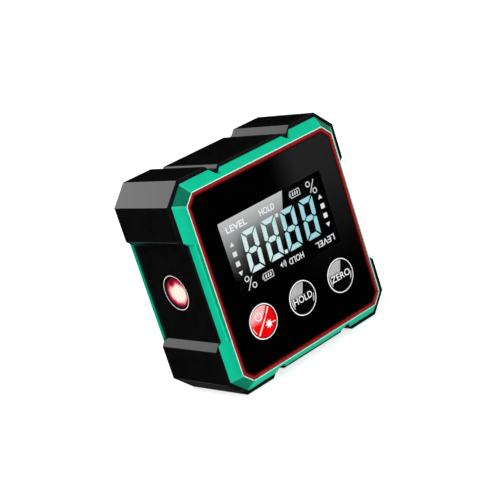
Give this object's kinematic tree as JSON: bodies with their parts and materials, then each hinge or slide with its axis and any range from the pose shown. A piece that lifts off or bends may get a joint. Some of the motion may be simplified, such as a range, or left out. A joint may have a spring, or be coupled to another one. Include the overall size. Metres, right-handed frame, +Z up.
{
  "type": "digital angle gauge",
  "caption": "Square digital level box with a lit display, a row of push buttons and a round laser window in each side.",
  "frame": {"origin": "middle of the base, on the plane of the two bottom corner feet", "axes": "+X to the right and +Z up seen from the front; the display faces -Y"},
  "size_m": [0.06, 0.0294, 0.06],
  "materials": {
    "housing_black": "fine satin moulded plastic",
    "frame_green": "satin green paint",
    "panel_gloss_black": "polished black",
    "display_lens": "polished clear",
    "display_glass": "polished dark",
    "holder_black": "matt",
    "backlight_white": "milky",
    "strip_grey": "matt",
    "board_green": "lacquered",
    "chip_black": "matt",
    "button_red": "polished",
    "button_black": "polished",
    "ring_chrome": "bright",
    "laser_lens": "polished tinted",
    "module_brass": "turned",
    "cell_sleeve": "printed film",
    "steel": "nickel plated"
  },
  "bodies": {
    "box": {"backlight": "backlight_white", "battery_door": "housing_black", "battery_lower": "cell_sleeve", "battery_upper": "cell_sleeve", "board_screw_1": "steel", "board_screw_2": "steel", "board_screw_3": "steel", "board_screw_4": "steel", "buzzer": "chip_black", "case_screw_1": "steel", "case_screw_2": "steel", "case_screw_3": "steel", "case_screw_4": "steel", "circuit_board": "board_green", "contact_bridge": "steel", "contact_lower": "steel", "contact_strip": "strip_grey", "contact_upper": "steel", "controller_chip": "chip_black", "display_glass": "display_glass", "display_holder": "holder_black", "display_lens": "display_lens", "door_screw": "steel", "front_frame": "frame_green", "front_panel": "panel_gloss_black", "hold_switch": "chip_black", "housing": "housing_black", "laser_bezel_left": "ring_chrome", "laser_bezel_right": "ring_chrome", "laser_lens_left": "laser_lens", "laser_lens_right": "laser_lens", "laser_module_left": "module_brass", "laser_module_right": "module_brass", "laser_switch": "chip_black", "magnet_left": "steel", "magnet_right": "steel", "rear_cover": "housing_black", "rear_frame": "frame_green", "spring_lower": "steel", "spring_upper": "steel", "tilt_sensor": "chip_black", "zero_switch": "chip_black"},
    "laser_button": {"laser_button_cap": "button_red", "laser_button_ring": "ring_chrome"},
    "hold_button": {"hold_button_cap": "button_black", "hold_button_ring": "ring_chrome"},
    "zero_button": {"zero_button_cap": "button_black", "zero_button_ring": "ring_chrome"}
  },
  "joints": [
    {"name": "laser_button_press", "type": "slide", "parent": "box", "child": "laser_button", "axis": [0, 1, 0], "range_m": [0, 0.0004], "stiffness_N_per_m": 1500},
    {"name": "hold_button_press", "type": "slide", "parent": "box", "child": "hold_button", "axis": [0, 1, 0], "range_m": [0, 0.0004], "stiffness_N_per_m": 1500},
    {"name": "zero_button_press", "type": "slide", "parent": "box", "child": "zero_button", "axis": [0, 1, 0], "range_m": [0, 0.0004], "stiffness_N_per_m": 1500}
  ]
}
